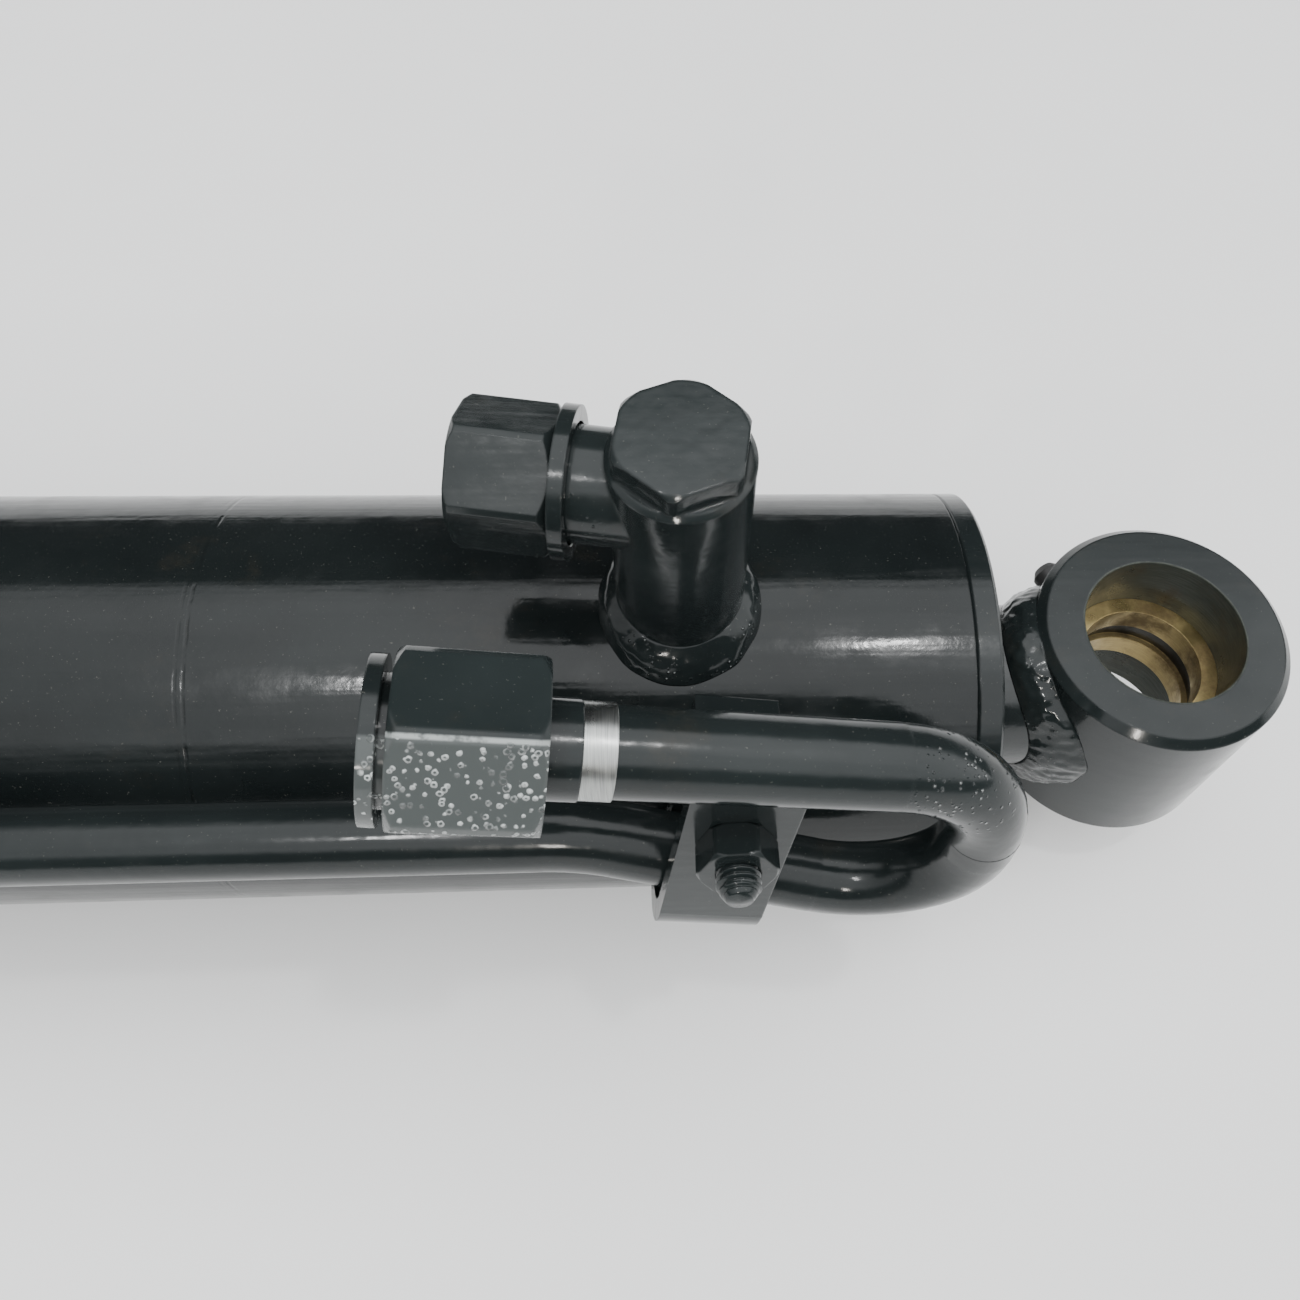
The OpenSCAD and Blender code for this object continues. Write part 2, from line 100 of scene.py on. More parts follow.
def ramp(nt, fac, stops):
    r = node(nt, "ShaderNodeValToRGB", {"Fac": fac})
    els = r.color_ramp.elements
    els[0].position, els[0].color = stops[0][0], (*stops[0][1], 1)
    els[1].position, els[1].color = stops[-1][0], (*stops[-1][1], 1)
    for pos, col in stops[1:-1]:
        els.new(pos).color = (*col, 1)
    return r.outputs[0]


def band(nt, fac, lo, hi, to_lo=0.0, to_hi=1.0):
    return node(nt, "ShaderNodeMapRange", {
        "Value": fac, "From Min": lo, "From Max": hi, "To Min": to_lo, "To Max": to_hi,
    }, interpolation_type="SMOOTHSTEP").outputs[0]


def math_of(nt, op, a, b=0.0):
    return node(nt, "ShaderNodeMath", {0: a, 1: b}, operation=op).outputs[0]


def add(nt, a, b):
    return math_of(nt, "ADD", a, b)


def sub(nt, a, b):
    return math_of(nt, "SUBTRACT", a, b)


def mul(nt, a, b):
    return math_of(nt, "MULTIPLY", a, b)


def axes_of(nt, p):
    return node(nt, "ShaderNodeSeparateXYZ", {0: p}).outputs


def cells_of(nt, p, scale):
    return node(nt, "ShaderNodeTexVoronoi", {"Vector": p, "Scale": scale}).outputs[0]


def mix_color(nt, fac, a, b):
    n = node(nt, "ShaderNodeMix", data_type="RGBA")
    for i, v in ((0, fac), (6, a), (7, b)):
        if isinstance(v, bpy.types.NodeSocket):
            nt.links.new(v, n.inputs[i])
        else:
            n.inputs[i].default_value = v if i == 0 else (*v, 1)
    return n.outputs[2]


def bump(nt, height, distance, strength, normal=None):
    ins = {"Height": height, "Distance": distance, "Strength": strength}
    if normal is not None:
        ins["Normal"] = normal
    return node(nt, "ShaderNodeBump", ins).outputs[0]


def rounded(nt, radius):
    return node(nt, "ShaderNodeBevel", {"Radius": radius}, samples=4).outputs[0]


# ---- materials ----

PAINT_LIGHT = (0.0150, 0.0195, 0.0195)
PAINT_DARK = (0.0080, 0.0108, 0.0110)
PAINT_IOR = 1.35
PAINT_COAT = 0.08
COAT_ROUGHNESS = 0.05
BARE_BORE_R = 19.35                    # an eye has no paint inside this radius
GROOVE_R = 15.2                        # the bushing's groove is outside this radius
# upper ridge of the tube nut as the camera sees it: height at one x, and slope
RIDGE_X, RIDGE_HEIGHT, RIDGE_SLOPE = 576.8, -7.16, -0.0807


class Finish:
    """Colour, roughness and normal of a material while its layers are put on."""

    def __init__(self, nt, p, col, rough, normal):
        self.nt, self.p = nt, p
        self.col, self.rough, self.normal = col, rough, normal

    def noise(self, scale, *shape):
        return noise_of(self.nt, self.p, scale, *shape)

    def tint(self, amount, colour):
        self.col = mix_color(self.nt, amount, self.col, colour)

    def scale_rough(self, factor):
        self.rough = mul(self.nt, self.rough, factor)

    def emboss(self, height, distance, strength):
        """Bump by height, where 1 stands for distance in millimetres."""
        self.normal = bump(self.nt, height, distance * MM, strength, self.normal)

    def plug_in(self, bsdf):
        self.nt.links.new(self.col, bsdf.inputs["Base Color"])
        self.nt.links.new(self.rough, bsdf.inputs["Roughness"])
        self.nt.links.new(self.normal, bsdf.inputs["Normal"])


def pin_distance(nt, p):
    """Distance in metres from the nearer pin axis, with a slightly ragged edge."""
    x, y, z = axes_of(nt, p)
    y2 = math_of(nt, "POWER", y, 2.0)
    away = []
    for at in (0.0, ROD_EYE_X * MM):
        dx = sub(nt, x, at)
        away.append(math_of(nt, "SQRT", add(nt, mul(nt, dx, dx), y2)))
    ragged = mul(nt, noise_of(nt, p, 260.0, 3.0), 0.5 * MM)
    return add(nt, math_of(nt, "MINIMUM", *away), ragged)


def scratch_rings(f):
    """Faint wavering scratches round the barrel, each with its place along x and its depth."""
    nt = f.nt
    x = add(nt, axes_of(nt, f.p)[0], mul(nt, f.noise(34.0, 4.0, 0.7), 1.2 * MM))
    patchy = band(nt, f.noise(150.0, 3.0), 0.38, 0.6)
    for at, depth in ((FACE_X - 166.0, 1.0), (FACE_X - 167.6, 0.4), (118.0, 0.7)):
        off = math_of(nt, "ABSOLUTE", sub(nt, x, (at + 0.6) * MM))
        line = band(nt, off, 0.1 * MM, 0.55 * MM, 1.0, 0.0)
        line = mul(nt, line, mul(nt, patchy, depth))
        f.emboss(mul(nt, line, -1.0), 0.10, 0.6)
        f.tint(mul(nt, line, 0.5), (0.006, 0.007, 0.007))


def spatter_with_glints(f, amount, spot):
    """Fine dots under the paint, in patches or only at spot, given as its centre and reach;
    their crowns are tinted pale as painted glints.
    """
    nt = f.nt
    if spot:
        centre, reach = spot
        away = node(nt, "ShaderNodeVectorMath", {0: f.p, 1: [c * MM for c in centre]},
                    operation="DISTANCE").outputs["Value"]
        close = band(nt, away, 0.6 * reach * MM, reach * MM, 1.0, 0.0)
        where = mul(nt, close, band(nt, f.noise(180.0, 2.0), 0.42, 0.52))
    else:
        where = band(nt, f.noise(75.0, 2.0), 0.53, 0.62)
    dots = mul(nt, band(nt, cells_of(nt, f.p, 800.0), 0.05, 0.32, 1.0, 0.0), where)
    f.emboss(dots, 0.40, 0.8 * amount)
    f.scale_rough(band(nt, dots, 0.0, 0.5, 1.0, 0.4))
    # painted highlight: pale glints painted on the crowns of the dots
    f.tint(mul(nt, band(nt, dots, 0.45, 0.9), 0.5 * amount), (0.42, 0.45, 0.44))


def blisters_and_painted_light(f, amount, ridge):
    """One side of the tube nut dried bubbly below a ridge; that side also gets painted light,
    and the ridge is worn bright, partly worn paint and partly a painted glint.
    """
    nt = f.nt
    x, y, z = axes_of(nt, f.p)
    # height over the slanting ridge, then distance from the barrel's axis toward the camera
    height = add(nt, mul(nt, y, math.cos(ROLL)), mul(nt, z, math.sin(ROLL)))
    slant = mul(nt, sub(nt, x, RIDGE_X * MM), -RIDGE_SLOPE)
    height = add(nt, add(nt, height, slant), -RIDGE_HEIGHT * MM)
    toward = sub(nt, mul(nt, z, math.cos(ROLL)), mul(nt, y, math.sin(ROLL)))
    front = band(nt, toward, 99 * MM, 104 * MM)
    side = mul(nt, band(nt, height, -0.7 * MM, 0.0, 1.0, 0.0), front)
    # glassy blisters, larger where crowd is high, each with a painted highlight on its rim where
    # lit is high
    crowd = f.noise(300.0, 3.0, 0.7)
    size = add(nt, cells_of(nt, f.p, 700.0), mul(nt, crowd, -0.9))
    drops = mul(nt, band(nt, size, -0.32, -0.04, 1.0, 0.0), side)
    rim_glints = mul(nt, band(nt, size, -0.34, -0.22), band(nt, size, -0.16, -0.06, 1.0, 0.0))
    lit = band(nt, f.noise(210.0, 3.0, 0.7), 0.40, 0.56, 0.12, 1.0)
    f.emboss(drops, 0.45, amount)
    # painted light: the facet below the ridge is made far lighter than the enamel, and the
    # blisters' rim glints are painted highlights
    f.tint(mul(nt, side, 0.85), (0.080, 0.089, 0.087))
    f.tint(mul(nt, mul(nt, rim_glints, side), lit), (0.50, 0.53, 0.52))
    f.scale_rough(band(nt, side, 0.0, 1.0, 1.0, 0.55))
    # the ridge is tinted bright: partly worn paint, partly a painted glint along the edge
    on_ridge = band(nt, math_of(nt, "ABSOLUTE", height), 0.15 * MM, 0.6 * MM, 1.0, 0.0)
    rubbed_glint = mul(nt, band(nt, crowd, 0.32, 0.52, 0.15 * ridge, 0.8 * ridge), on_ridge)
    f.tint(mul(nt, rubbed_glint, front), (0.40, 0.43, 0.42))


def bare_bore(f, bsdf):
    """The eye's bore beside the bushing has no paint: dull turned steel with stains."""
    nt = f.nt
    away = pin_distance(nt, f.p)
    bare = band(nt, away, BARE_BORE_R * MM, (BARE_BORE_R + 0.4) * MM, 1.0, 0.0)
    turned = noise_of(nt, coords(nt, (1, 1, 22)), 160.0, 5.0, 0.65)
    olive = ramp(nt, turned, [(0.3, (0.035, 0.040, 0.035)), (0.72, (0.085, 0.095, 0.080))])
    stains = band(nt, f.noise(110.0, 5.0, 0.7), 0.5, 0.72)
    f.tint(bare, mix_color(nt, mul(nt, stains, 0.5), olive, (0.055, 0.042, 0.025)))
    f.rough = add(nt, f.rough, mul(nt, bare, 0.16))
    nt.links.new(mul(nt, bare, 0.35), bsdf.inputs["Metallic"])
    nt.links.new(band(nt, bare, 0.0, 1.0, PAINT_COAT, 0.0), bsdf.inputs["Coat Weight"])


def paint_material(name, painted_light=1.0, edge=0.5, wave=1.0, rings=False, runs=0.0, spatter_glints=0.0,
                   spot=None, blisters=0.0, ridge=0.0, bore=False):
    """Dark slate enamel: colour drift, dust, grime, sags and peel, with faults where asked.

    painted_light lightens or darkens the colour as painted light or shade on a part, edge is the
    radius of the softened edges in millimetres and wave scales the sags and the peel.
    """
    mat, nt, bsdf = new_material(name)
    p = coords(nt)
    dark, light = [[painted_light * c for c in shade] for shade in (PAINT_DARK, PAINT_LIGHT)]
    drift = ramp(nt, noise_of(nt, p, 22.0, 4.0), [(0.3, dark), (0.7, light)])
    rough = band(nt, noise_of(nt, p, 90.0, 5.0, 0.65), 0.35, 0.75, 0.10, 0.26)
    f = Finish(nt, p, drift, rough, rounded(nt, edge * MM))
    dust = band(nt, f.noise(1500.0, 2.0, 0.7), 0.66, 0.78)
    f.tint(mul(nt, dust, 0.35), (0.16, 0.16, 0.14))
    grime = band(nt, f.noise(60.0, 6.0, 0.7), 0.55, 0.8)
    f.tint(mul(nt, grime, 0.25), (0.045, 0.036, 0.024))
    # sags and draw marks along the part, then orange peel, then a fine grain
    along = coords(nt, (1.0, 14.0, 14.0))
    f.emboss(noise_of(nt, along, 9.0, 3.0), 0.9, 0.22 * wave)
    f.emboss(f.noise(420.0, 2.0), 0.05, 0.55 * wave)
    f.emboss(f.noise(2400.0, 2.0), 0.008, 0.5)
    bsdf.inputs["IOR"].default_value = PAINT_IOR
    bsdf.inputs["Coat Weight"].default_value = PAINT_COAT
    bsdf.inputs["Coat Roughness"].default_value = COAT_ROUGHNESS
    if rings:
        scratch_rings(f)
    if runs:
        f.emboss(f.noise(150.0, 2.0, 0.5), 1.6, 0.4 * runs)
    if spatter_glints:
        spatter_with_glints(f, spatter_glints, spot)
    if blisters:
        blisters_and_painted_light(f, blisters, ridge)
    if bore:
        bare_bore(f, bsdf)
    f.plug_in(bsdf)
    nt.links.new(f.normal, bsdf.inputs["Coat Normal"])
    return mat


def metal_material(name, light, dark, rough, streak=(1, 1, 1), scale=300.0, stain=None,
                   groove=False):
    """Bare metal with tool streaks, uneven polish and an optional stain."""
    mat, nt, bsdf = new_material(name)
    p = coords(nt)
    streaks = noise_of(nt, coords(nt, streak), scale, 5.0, 0.65)
    col = ramp(nt, streaks, [(0.3, dark), (0.72, light)])
    polish = band(nt, noise_of(nt, p, 160.0, 4.0), 0.3, 0.75, rough, rough + 0.16)
    f = Finish(nt, p, col, polish, rounded(nt, 0.25 * MM))
    f.emboss(streaks, 0.02, 0.6)
    bsdf.inputs["Metallic"].default_value = 1.0
    if stain:
        spots = band(nt, f.noise(85.0, 6.0, 0.7), 0.42, 0.66)
        f.tint(spots, stain)
        f.rough = add(nt, f.rough, mul(nt, spots, 0.25))
    if groove:
        # the groove half way along the bushing is painted near black: painted shade deep in the
        # groove
        mid = band(nt, math_of(nt, "ABSOLUTE", axes_of(nt, p)[2]), 2.6 * MM, 3.2 * MM, 1.0, 0.0)
        deep = band(nt, pin_distance(nt, p), GROOVE_R * MM, (GROOVE_R + 0.5) * MM)
        groove_shade = mul(nt, mid, deep)
        f.tint(groove_shade, (0.008, 0.007, 0.006))
        nt.links.new(sub(nt, 1.0, groove_shade), bsdf.inputs["Metallic"])
    f.plug_in(bsdf)
    return mat


def rod_material():
    """Hard chrome; the short length that showed when the cylinder was sprayed is painted."""
    mat, nt, bsdf = new_material("rod_chrome")
    p = coords(nt)
    edge = add(nt, axes_of(nt, p)[0], mul(nt, noise_of(nt, p, 240.0, 3.0), 1.2 * MM))
    painted = band(nt, edge, (FACE_X + 0.3) * MM, (FACE_X + 1.1) * MM)
    fine = noise_of(nt, coords(nt, (60, 1, 1)), 90.0, 4.0)
    chrome = ramp(nt, fine, [(0.3, (0.62, 0.62, 0.64)), (0.7, (0.80, 0.80, 0.82))])
    enamel = ramp(nt, noise_of(nt, p, 40.0, 4.0), [(0.3, PAINT_DARK), (0.7, PAINT_LIGHT)])
    film = band(nt, noise_of(nt, p, 30.0, 5.0, 0.7), 0.4, 0.8, 0.03, 0.12)
    # the chrome is smooth and the paint on it is lumpy
    normal = node(nt, "ShaderNodeMix", {0: painted}, data_type="VECTOR")
    flat = node(nt, "ShaderNodeNewGeometry").outputs["Normal"]
    lumpy = bump(nt, noise_of(nt, p, 380.0, 2.0), 0.12 * MM, 0.5)
    nt.links.new(flat, normal.inputs[4])
    nt.links.new(lumpy, normal.inputs[5])
    f = Finish(nt, p, chrome, add(nt, film, mul(nt, painted, 0.1)), normal.outputs[1])
    f.tint(painted, enamel)
    nt.links.new(sub(nt, 1.0, painted), bsdf.inputs["Metallic"])
    f.plug_in(bsdf)
    return mat


def soft_material(name, light, dark, rough):
    """Moulded rubber or plastic with a fine grain and dusty patches."""
    mat, nt, bsdf = new_material(name)
    p = coords(nt)
    col = ramp(nt, noise_of(nt, p, 260.0, 5.0, 0.6), [(0.3, dark), (0.7, light)])
    dusty = band(nt, noise_of(nt, p, 104.0, 4.0), 0.3, 0.7, rough, rough + 0.18)
    f = Finish(nt, p, col, dusty, rounded(nt, 0.3 * MM))
    f.emboss(f.noise(1560.0, 3.0), 0.02, 0.6)
    f.plug_in(bsdf)
    return mat


# centre and reach of the weld dots with their painted glints, on the elbow and on the pipe's
# U-bend
ELBOW_SPOT = ((580.0, -5.0, 84.0), 12.0)
PIPE_SPOT = ((645.0, -58.0, 76.0), 13.0)

# painted shade: the barrel's enamel is a darker copy of the same paint
PAINT = paint_material("paint", rings=True, painted_light=0.7)
PAINT_PLAIN = paint_material("paint_plain", wave=0.7)
PAINT_EYE = paint_material("paint_eye", edge=0.8, wave=0.25, bore=True)
# painted light: the tube nut's enamel is a lighter copy of the same paint
PAINT_PITTED = paint_material("paint_pitted", blisters=1.0, ridge=1.0, edge=0.9, wave=0.2,
                              painted_light=1.5)
# the plug's flange gets the same blisters and painted light below the ridge as the tube nut
PAINT_FLANGE = paint_material("paint_flange", blisters=0.6, wave=0.2)
PAINT_WELD = paint_material("paint_weld", runs=0.3, spatter_glints=1.0, edge=0.4, wave=0.6)
PAINT_GLOSS = paint_material("paint_gloss", runs=0.8, spatter_glints=0.3, edge=0.4, wave=0.4)
# painted light: the elbow's enamel is a lighter copy of the same paint
PAINT_ELBOW = paint_material("paint_elbow", runs=0.16, spatter_glints=1.0, edge=0.9, wave=0.3,
                             painted_light=1.3, spot=ELBOW_SPOT)
PAINT_PIPE = paint_material("paint_pipe", runs=0.16, spatter_glints=1.0, edge=0.9, wave=0.3,
                            spot=PIPE_SPOT)
PAINT_THREAD = paint_material("paint_thread", edge=0.12, wave=0.15)
BAND = metal_material("bare_band", (0.46, 0.47, 0.455), (0.24, 0.25, 0.245), 0.22,
                      streak=(40, 1, 1), scale=120.0)
NIPPLE = metal_material("plated_steel", (0.74, 0.74, 0.72), (0.42, 0.42, 0.40), 0.25)
MACHINED = metal_material("machined_steel", (0.60, 0.60, 0.60), (0.36, 0.36, 0.36), 0.26,
                          streak=(30, 1, 1))
CHROME = rod_material()
BRONZE = metal_material("bronze", (0.52, 0.41, 0.20), (0.30, 0.23, 0.11), 0.24,
                        streak=(1, 1, 30), scale=200.0, stain=(0.20, 0.13, 0.05))
BUSH = metal_material("bushing", (0.52, 0.41, 0.19), (0.32, 0.24, 0.11), 0.26,
                      streak=(1, 1, 30), scale=200.0, stain=(0.19, 0.14, 0.07), groove=True)
RUBBER = soft_material("black_rubber", (0.030, 0.030, 0.030), (0.012, 0.012, 0.012), 0.45)
SEAL = soft_material("seal", (0.13, 0.11, 0.08), (0.07, 0.06, 0.045), 0.30)
PLUG = soft_material("plug_plastic", (0.075, 0.085, 0.085), (0.035, 0.040, 0.040), 0.32)

NODE_MATERIALS = {
    "base_bush": BUSH, "rod_bush": BUSH, "guide_bush": BRONZE, "wear_rings": BRONZE,
    "base_nipple": NIPPLE, "rod_nipple": NIPPLE, "bare_band": BAND,
    "base_nipple_cap": RUBBER, "rod_nipple_cap": RUBBER, "gland_oring": RUBBER,
    "piston_oring": RUBBER, "buffer_seal": SEAL, "rod_seal": SEAL, "wiper_seal": SEAL,
    "piston_seal": SEAL, "gland_backup_ring": PLUG, "elbow_plug": PLUG,
    "tube_plug": PAINT_FLANGE, "tube_nut": PAINT_PITTED, "oil_pipe": PAINT_PIPE,
    "rod": CHROME, "piston": MACHINED, "piston_nut": MACHINED, "barrel_tube": PAINT,
    "port_elbow": PAINT_ELBOW, "base_eye": PAINT_EYE, "rod_eye": PAINT_EYE,
}
for name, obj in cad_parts.items():
    obj.data.materials.clear()
    obj.data.materials.append(NODE_MATERIALS.get(name, PAINT_PLAIN))


# ---- pieces built in place of simple CAD nodes ----

def make_mesh(name, verts, faces, mat):
    mesh = bpy.data.meshes.new(name)
    mesh.from_pydata([tuple(c * MM for c in v) for v in verts], [], faces)
    mesh.polygons.foreach_set("use_smooth", [True] * len(mesh.polygons))
    mesh.materials.append(mat)
    mesh.update()
    obj = bpy.data.objects.new(name, mesh)
    bpy.context.collection.objects.link(obj)
    return obj


def take_place(obj, cad_node, body):
    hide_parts(cad_node)
    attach(obj, body)


def grid_faces(rows, cols, close_rows=True):
    """Quads of a grid of points that closes along each row and, where asked, over the rows."""
    n = rows if close_rows else rows - 1
    return [(i * cols + j, i * cols + (j + 1) % cols,
             (i + 1) % rows * cols + (j + 1) % cols, (i + 1) % rows * cols + j)
            for i in range(n) for j in range(cols)]


def weld_bead(name, path, radius, cad_node, body, pitch, lump, seed):
    """A closed bead along path, with a ripple at every pitch and an uneven size."""
    path = [Vector(q) for q in path]
    count, around = len(path), 22
    lengths = [0.0]
    for i in range(count):
        lengths.append(lengths[-1] + (path[(i + 1) % count] - path[i]).length)
    total = lengths[-1]
    steps = round(total / pitch)
    middle = sum(path, Vector()) / count
    verts = []
    for i, q in enumerate(path):
        ahead = (path[(i + 1) % count] - path[i - 1]).normalized()
        side = ahead.cross(q - middle).normalized()
        out = side.cross(ahead)
        turn = lengths[i] / total * steps
        for j in range(around):
            a = 2 * math.pi * j / around
            d = math.cos(a) * out + math.sin(a) * side
            # each step is a curved scale, so its phase lags at the sides of the bead
            phase = (turn + 0.35 * math.cos(2 * a)) % 1.0
            scale = 0.06 * (1 - phase) ** 2
            at = (q + radius * d) * 0.22 + Vector((seed, 0, 0))
            swell = lump * noise.noise(at) + 0.05 * noise.noise(at * 3.1)
            verts.append(q + radius * (1 + scale + swell) * d)
    obj = make_mesh(name, verts, grid_faces(count, around), PAINT_WELD)
    take_place(obj, cad_node, body)


def fillet(name, foot, radius_in, radius_out, cad_node, body, bulge, lump, seed, mat):
    """A closed, lumpy fillet; the last point of each cross-section is buried in the metal.

    foot(a, r, up) is the place at angle a and radius r round the joint. up is 1 at the fillet's
    inner edge, on the part that stands up, and 0 at its outer edge, on the part below.
    """
    count, across, buried = 420, 22, 3.0
    verts = []
    for i in range(count):
        a = 2 * math.pi * i / count
        wander = noise.noise(Vector((3 * math.cos(a), 3 * math.sin(a), seed)))
        inner = Vector(foot(a, radius_in, 1.0))
        outer = Vector(foot(a, radius_out(a) * (1 + 0.030 * wander), 0.0))
        run = outer - inner
        middle = (inner + outer) / 2
        away = Vector(foot(a, radius_out(a), 1.0)) - middle
        away = (away - away.project(run)).normalized()
        for j in range(across - 1):
            t = j / (across - 2)
            q = inner + t * run
            ripple = noise.noise(q * 0.16 + Vector((seed, 0, 0))) + 0.45 * noise.noise(q * 0.5)
            arch = math.sin(math.pi * t)
            rise = bulge * arch + lump * ripple * arch ** 0.5
            verts.append(q + rise * away)
        verts.append(middle - buried * away)
    obj = make_mesh(name, verts, grid_faces(count, across), mat)
    take_place(obj, cad_node, body)


def elbow_foot(a, r, up):
    """Places round the elbow's foot, on the barrel and 5.5 mm up the elbow."""
    x, v = r * math.cos(a), r * math.sin(a)
    h = math.sqrt(BARREL_R ** 2 - v ** 2) - SINK + 5.5 * up
    return (PORT_X + x, v * math.cos(PORT_TURN) + h * math.sin(PORT_TURN),
            h * math.cos(PORT_TURN) - v * math.sin(PORT_TURN))


def eye_foot(eye_x, side):
    """Places round the rod or neck that meets an eye: on the eye, and 7.5 mm up from it."""
    def foot(a, r, up):
        y, z = r * math.cos(a), r * math.sin(a)
        return (eye_x + side * (math.sqrt(EYE_R ** 2 - y * y) - SINK + 7.5 * up), y, z)
    return foot


def welds():
    # the elbow's fillet is wider on its -Y side
    fillet("elbow_fillet", elbow_foot, 12.8, lambda a: 16.9 + 1.6 * max(0.0, -math.sin(a)),
           "elbow_weld", "barrel", bulge=0.9, lump=0.35, seed=3.0, mat=PAINT_WELD)
    fillet("rod_eye_fillet", eye_foot(ROD_EYE_X, -1), 19.9, lambda a: 25.2,
           "rod_eye_weld", "rod", bulge=1.3, lump=0.9, seed=11.0, mat=PAINT_GLOSS)
    fillet("base_eye_fillet", eye_foot(0.0, 1), 20.9, lambda a: 25.4,
           "base_eye_weld", "barrel", bulge=1.2, lump=0.8, seed=23.0, mat=PAINT_GLOSS)
    angles = [2 * math.pi * i / 700 for i in range(700)]
    seam = [(CAP_X, CAP_R * math.cos(a), CAP_R * math.sin(a)) for a in angles]
    weld_bead("base_cap_bead", seam, 3.3, "base_cap_weld", "barrel",
              pitch=3.6, lump=0.12, seed=37.0)


def threaded_stud(name, at, ex, ez, cad_node):
    """M8 stud of a clamp, with a true coarse thread and a rounded tip.

    at is on the pipe's centre line, ex lies along the clamp and ez points off the barrel.
    """
    pitch, crest, root, around, step = 1.25, 4.0, 3.22, 40, 0.11
    fade, blunt, blunt_r = 3.2, 2.0, 3.5
    ey = ez.cross(ex)
    origin = at + ey * STUD_OFF
    length = STUD_TIP - STUD_FOOT
    rows = int(length / step)
    verts = []
    for i in range(rows + 1):
        z = STUD_FOOT + length * i / rows
        tip = STUD_TIP - z
        for j in range(around):
            a = 2 * math.pi * j / around
            saw = abs(((z / pitch - j / around) % 1.0) * 2 - 1)
            r = root + (crest - root) * min(1.0, max(0.0, 1.5 * saw - 0.2))
            if tip < blunt:
                r = min(r, blunt_r)
            if tip < fade:
                # the first turns fade into a rounded end
                r *= math.sqrt(max(0.02, min(1.0, 0.45 + tip / 3.0)))
            r *= 1 + 0.012 * noise.noise(Vector((math.cos(a), math.sin(a), z * 0.9)))
            verts.append(origin + ex * (r * math.cos(a)) + ey * (r * math.sin(a)) + ez * z)
    faces = grid_faces(rows + 1, around, close_rows=False)
    last = rows * around
    verts.append(origin + ez * (STUD_TIP + 0.25))
    faces += [(last + j, last + (j + 1) % around, len(verts) - 1) for j in range(around)]
    faces.append(tuple(range(around))[::-1])
    obj = make_mesh(name, verts, faces, PAINT_THREAD)
    take_place(obj, cad_node, "barrel")


def out_of_barrel(turn):
    """Direction square to X that is turned from +Z toward +Y."""
    return Vector((0, math.sin(turn), math.cos(turn)))


def studs():
    # the front clamp is on the slanted stretch of the pipe, the middle one on its straight run
    slope = (U_LOW - JOGGLE).normalized()
    at = U_LOW + slope * ((FRONT_CLAMP_X - U_LOW.x) / slope.x)
    up = Vector((0, math.cos(FRONT_CLAMP_TURN), -math.sin(FRONT_CLAMP_TURN)))
    ex = math.cos(FRONT_CLAMP_LEAN) * Vector((1, 0, 0)) - math.sin(FRONT_CLAMP_LEAN) * up
    threaded_stud("front_stud_thread", at, ex, out_of_barrel(FRONT_CLAMP_TURN), "front_stud")
    at = Vector((MID_CLAMP_X, RUN_Y, RUN_Z))
    ez = out_of_barrel(math.atan2(RUN_Y, RUN_Z))
    threaded_stud("mid_stud_thread", at, Vector((1, 0, 0)), ez, "mid_stud")


welds()
studs()


# ---- stage, in metres ----

def bench():
    bpy.ops.mesh.primitive_plane_add(size=40, location=(0.4, 0, FLOOR_Z * MM))
    floor = bpy.context.object
    floor.name = "floor"
    mat, nt, bsdf = new_material("floor")
    pale, white = (0.88, 0.878, 0.87), (0.92, 0.918, 0.91)
    col = ramp(nt, noise_of(nt, coords(nt), 5.0, 4.0), [(0.3, pale), (0.7, white)])
    nt.links.new(col, bsdf.inputs["Base Color"])
    bsdf.inputs["Roughness"].default_value = 0.8
    floor.data.materials.append(mat)


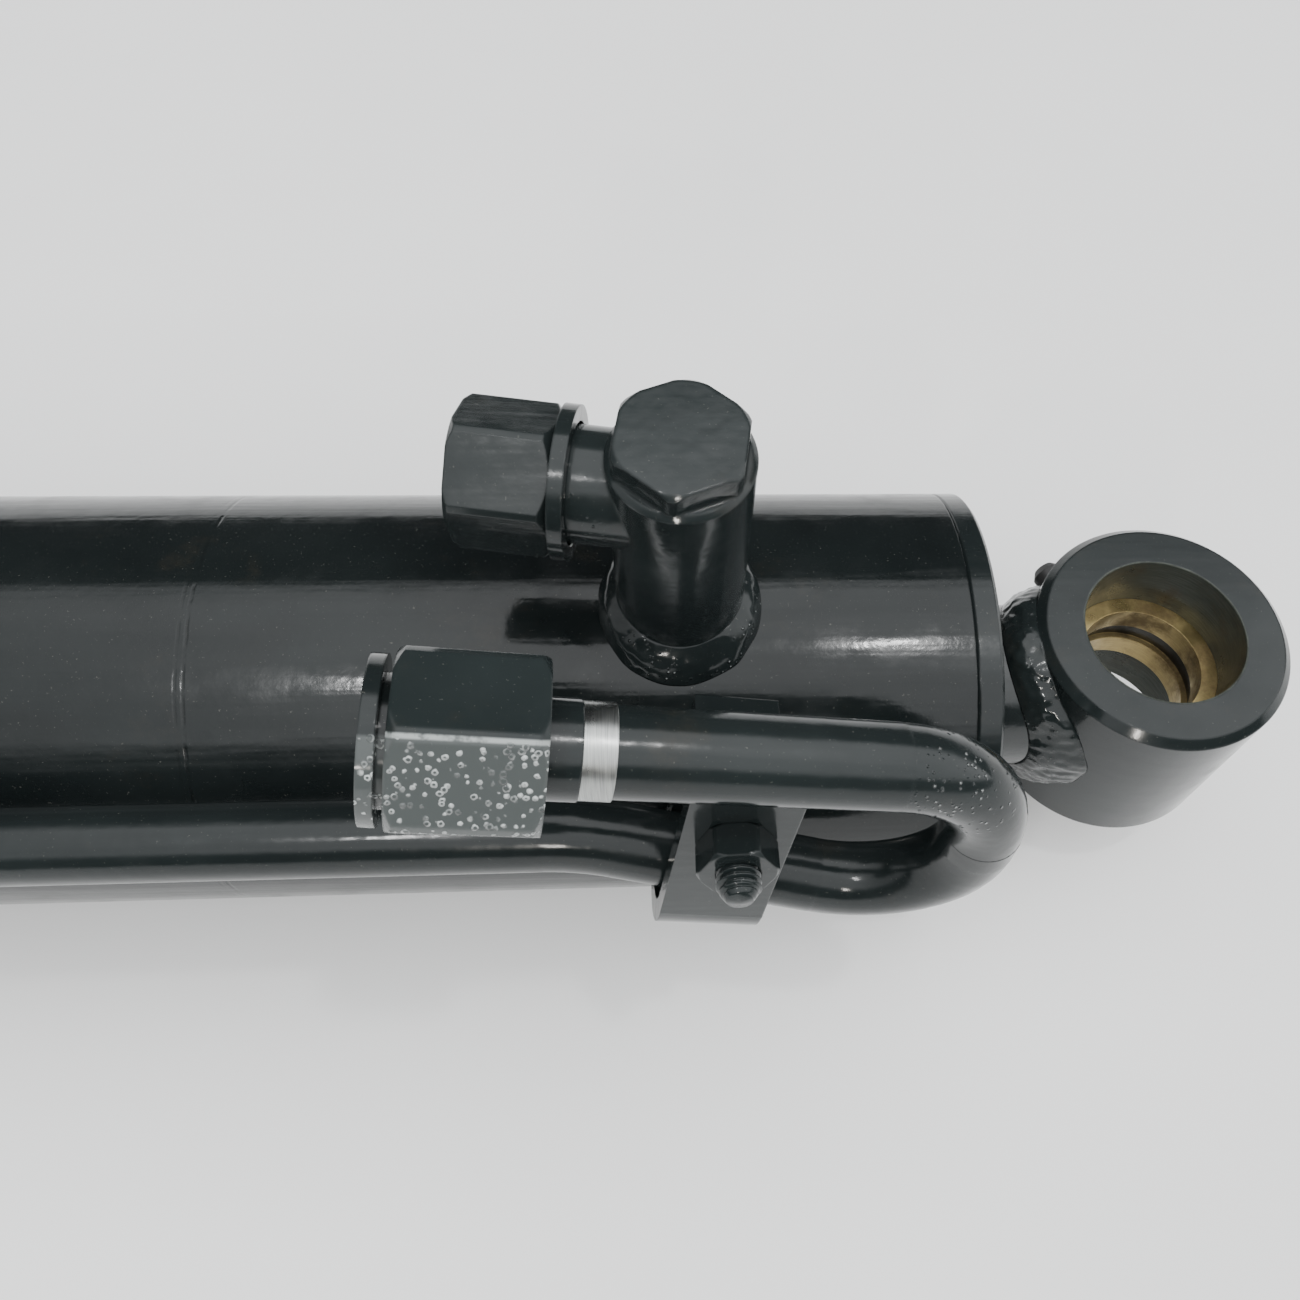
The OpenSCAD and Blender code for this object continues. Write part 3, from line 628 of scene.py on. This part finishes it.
def room():
    """A white cloth hung over the part, from its -Y side to its +Y side, in a dim room."""
    world = bpy.data.worlds.new("studio")
    bpy.context.scene.world = world
    world.use_nodes = True
    nt = world.node_tree
    way = node(nt, "ShaderNodeTexCoord").outputs["Generated"]
    x, y, z = axes_of(nt, way)
    # lean is the angle from straight up, negative on the -Y side, where the cloth sags; it is
    # dimmer toward the base end
    lean = math_of(nt, "ARCTAN2", y, z)
    near = band(nt, lean, math.radians(-64), math.radians(-49))
    far = band(nt, lean, math.radians(28.5), math.radians(40), 1.0, 0.0)
    sag = band(nt, lean, math.radians(-60), math.radians(10), 0.78, 1.0)
    end = band(nt, x, -0.75, -0.15, 0.45, 1.0)
    cloth = mul(nt, mul(nt, near, sag), mul(nt, far, end))
    drawn = node(nt, "ShaderNodeMapping", {"Vector": way, "Scale": (2.2, 6.0, 6.0)}).outputs[0]
    folds = noise_of(nt, drawn, 1.0, 3.0)
    cloth = mul(nt, cloth, band(nt, folds, 0.3, 0.7, 2.6, 3.1))
    walls = 0.06
    level = add(nt, cloth, walls)
    # the camera itself sees a plain pale wall
    seen = node(nt, "ShaderNodeLightPath").outputs["Is Camera Ray"]
    bg = nt.nodes["Background"]
    bg.inputs[0].default_value = (0.97, 0.985, 1.0, 1)
    nt.links.new(math_of(nt, "MAXIMUM", level, seen), bg.inputs[1])


def lamp(name, loc, watts, color=(1, 1, 1)):
    """A small lamp, 50 mm wide and aimed at the rod end, for the sparks on the wet paint."""
    data = bpy.data.lights.new(name, "AREA")
    data.size, data.energy, data.color = 0.05, watts, color
    obj = bpy.data.objects.new(name, data)
    obj.location = loc
    aim = Vector((0.55, 0, 0)) - Vector(loc)
    obj.rotation_euler = aim.to_track_quat("-Z", "Y").to_euler()
    bpy.context.collection.objects.link(obj)


def camera():
    """Looks down on the rod end as in the photograph: upright is part +Y turned up by ROLL."""
    yaw, pitch, tilt = 0.0727, 0.0227, -0.0154
    eye = Vector((FACE_X - 70.45, 0.0, 274.54))      # in millimetres, before the turn by ROLL
    fwd = Vector((math.sin(yaw) * math.cos(pitch), math.sin(pitch),
                  -math.cos(yaw) * math.cos(pitch)))
    right = fwd.cross(Vector((0, 1, 0))).normalized()
    up = right.cross(fwd)
    r = math.cos(tilt) * right + math.sin(tilt) * up
    u = -math.sin(tilt) * right + math.cos(tilt) * up
    to_part = Matrix.Rotation(ROLL, 3, "X")
    r, u, fwd, where = to_part @ r, to_part @ u, to_part @ fwd, to_part @ eye * MM
    data = bpy.data.cameras.new("photo")
    cam = bpy.data.objects.new("photo", data)
    bpy.context.collection.objects.link(cam)
    cam.matrix_world = Matrix((
        (r.x, u.x, -fwd.x, where.x),
        (r.y, u.y, -fwd.y, where.y),
        (r.z, u.z, -fwd.z, where.z),
        (0, 0, 0, 1),
    ))
    data.sensor_width = 36.0
    data.lens = 30.76
    data.shift_x, data.shift_y = -0.0751, 0.00995
    data.clip_start = 0.01
    bpy.context.scene.camera = cam


bench()
room()
lamp("spark_left", (0.30, -0.42, 1.0), 1.8)
lamp("spark_right", (0.86, -0.10, 1.1), 1.8)
lamp("spark_low", (0.50, -0.95, 0.62), 1.4, (1.0, 0.95, 0.88))
camera()
